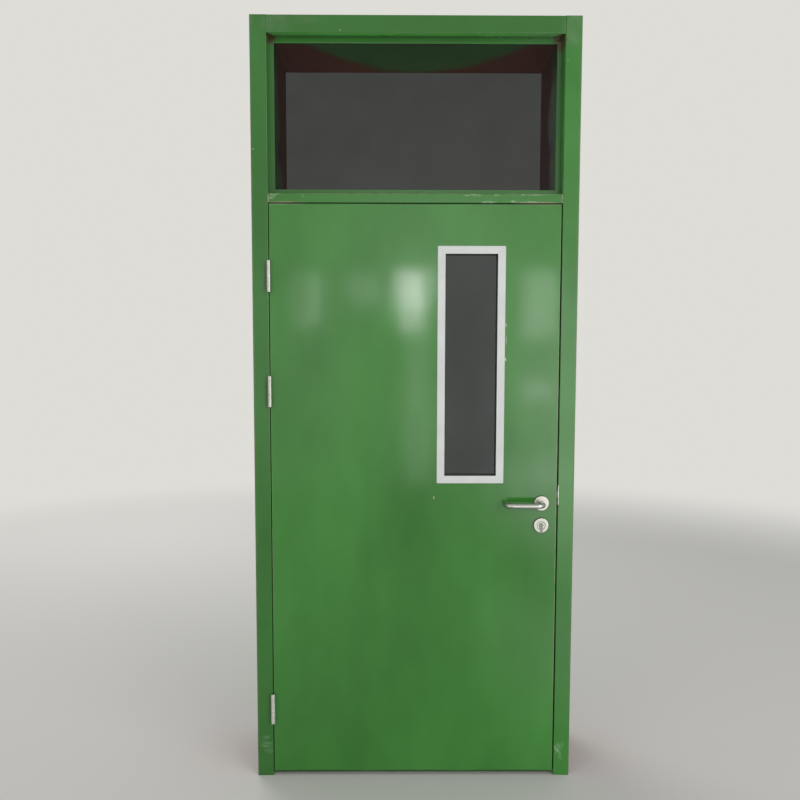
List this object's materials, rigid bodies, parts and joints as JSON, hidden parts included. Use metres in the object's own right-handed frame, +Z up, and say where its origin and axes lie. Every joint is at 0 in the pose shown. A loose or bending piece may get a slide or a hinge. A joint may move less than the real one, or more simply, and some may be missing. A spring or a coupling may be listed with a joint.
{
  "type": "steel classroom door with frame",
  "caption": "Flush painted steel door in a deep steel frame with a glazed transom light, a tall narrow vision panel, knuckle hinges, a return lever and a key cylinder with thumb turn.",
  "frame": {"origin": "on the floor, in the middle of the whole assembly's width and depth", "axes": "+X to the right for someone facing the front of the door, +Y from the front to the back, +Z up; the hinges are at -X and the leaf opens towards -Y"},
  "size_m": [1.14, 0.424, 2.7],
  "materials": {
    "frame_paint": "semi-gloss green enamel, worn",
    "leaf_paint": "semi-gloss green enamel",
    "trim_steel": "satin stainless sheet",
    "satin_stainless": "satin",
    "zinc_plated_steel": "dull zinc plating",
    "nickel_plated_brass": "satin nickel plating",
    "grey_glass": "clear grey-tinted float glass",
    "black_rubber": "matt",
    "ring_plastic": "moulded",
    "honeycomb": "plain kraft paper honeycomb"
  },
  "bodies": {
    "frame": {"jamb_hinge_side": "frame_paint", "jamb_lock_side": "frame_paint", "frame_head": "frame_paint", "transom_bar": "frame_paint", "wall_fixing_sleeves": "zinc_plated_steel", "transom_glass": "grey_glass", "transom_glazing_tape": "black_rubber", "transom_bead_top": "frame_paint", "transom_bead_bottom": "frame_paint", "transom_bead_hinge_side": "frame_paint", "transom_bead_lock_side": "frame_paint", "transom_bead_screws": "satin_stainless", "door_seal_hinge_side": "black_rubber", "door_seal_lock_side": "black_rubber", "door_seal_head": "black_rubber", "strike_plate": "satin_stainless", "strike_screws": "satin_stainless", "strike_box": "zinc_plated_steel", "hinge_backplates_frame": "zinc_plated_steel", "hinge_frame_screws": "satin_stainless", "hinge_top_frame_half": "satin_stainless", "hinge_middle_frame_half": "satin_stainless", "hinge_bottom_frame_half": "satin_stainless", "hinge_pins": "satin_stainless"},
    "door_leaf": {"leaf_front_skin": "leaf_paint", "leaf_back_skin": "leaf_paint", "leaf_core": "honeycomb", "leaf_top_channel": "leaf_paint", "leaf_bottom_channel": "leaf_paint", "hinge_backplates_leaf": "zinc_plated_steel", "hinge_leaf_screws": "satin_stainless", "hinge_top_leaf_half": "satin_stainless", "hinge_middle_leaf_half": "satin_stainless", "hinge_bottom_leaf_half": "satin_stainless", "hinge_bearing_rings": "ring_plastic", "vision_opening_liner": "zinc_plated_steel", "vision_glass": "grey_glass", "vision_gaskets": "black_rubber", "vision_trim_front": "trim_steel", "vision_trim_back": "trim_steel", "vision_trim_screws": "satin_stainless", "lock_reinforcement": "zinc_plated_steel", "lock_forend": "satin_stainless", "lock_screws": "satin_stainless", "lock_case": "zinc_plated_steel", "lock_case_cover": "zinc_plated_steel", "cylinder_body": "nickel_plated_brass", "lever_rose_front": "satin_stainless", "lever_rose_back": "satin_stainless", "cylinder_rose_front": "satin_stainless", "cylinder_rose_back": "satin_stainless", "rose_through_bolts": "zinc_plated_steel"},
    "lever_set": {"lever_front": "satin_stainless", "lever_back": "satin_stainless", "lever_spindle": "zinc_plated_steel", "lock_follower": "zinc_plated_steel"},
    "latch": {"latch_bolt": "satin_stainless"},
    "cylinder_turn": {"cylinder_plug": "nickel_plated_brass", "thumb_turn": "nickel_plated_brass"},
    "dead_bolt": {"deadbolt": "satin_stainless"}
  },
  "joints": [
    {"name": "leaf_swing", "type": "hinge", "parent": "frame", "child": "door_leaf", "pos_m": [-0.511, -0.1565, 0], "axis": [0, 0, -1], "range_deg": [0, 170]},
    {"name": "lever_turn", "type": "hinge", "parent": "door_leaf", "child": "lever_set", "pos_m": [0.4535, -0.1255, 1.013], "axis": [0, -1, 0], "range_deg": [0, 45], "stiffness_Nm_per_rad": 1, "springref_deg": -57.3},
    {"name": "latch_slide", "type": "slide", "parent": "door_leaf", "child": "latch", "axis": [-1, 0, 0], "range_m": [0, 0.012]},
    {"name": "cylinder_turn", "type": "hinge", "parent": "door_leaf", "child": "cylinder_turn", "pos_m": [0.4535, -0.1255, 0.933], "axis": [0, -1, 0], "range_deg": [0, 360]},
    {"name": "deadbolt_slide", "type": "slide", "parent": "door_leaf", "child": "dead_bolt", "axis": [1, 0, 0], "range_m": [0, 0.02]}
  ],
  "couplings": [
    {"joint": "latch_slide", "follows": "lever_turn", "m_per_rad": 0.015278},
    {"joint": "deadbolt_slide", "follows": "cylinder_turn", "m_per_rad": 0.003183}
  ]
}
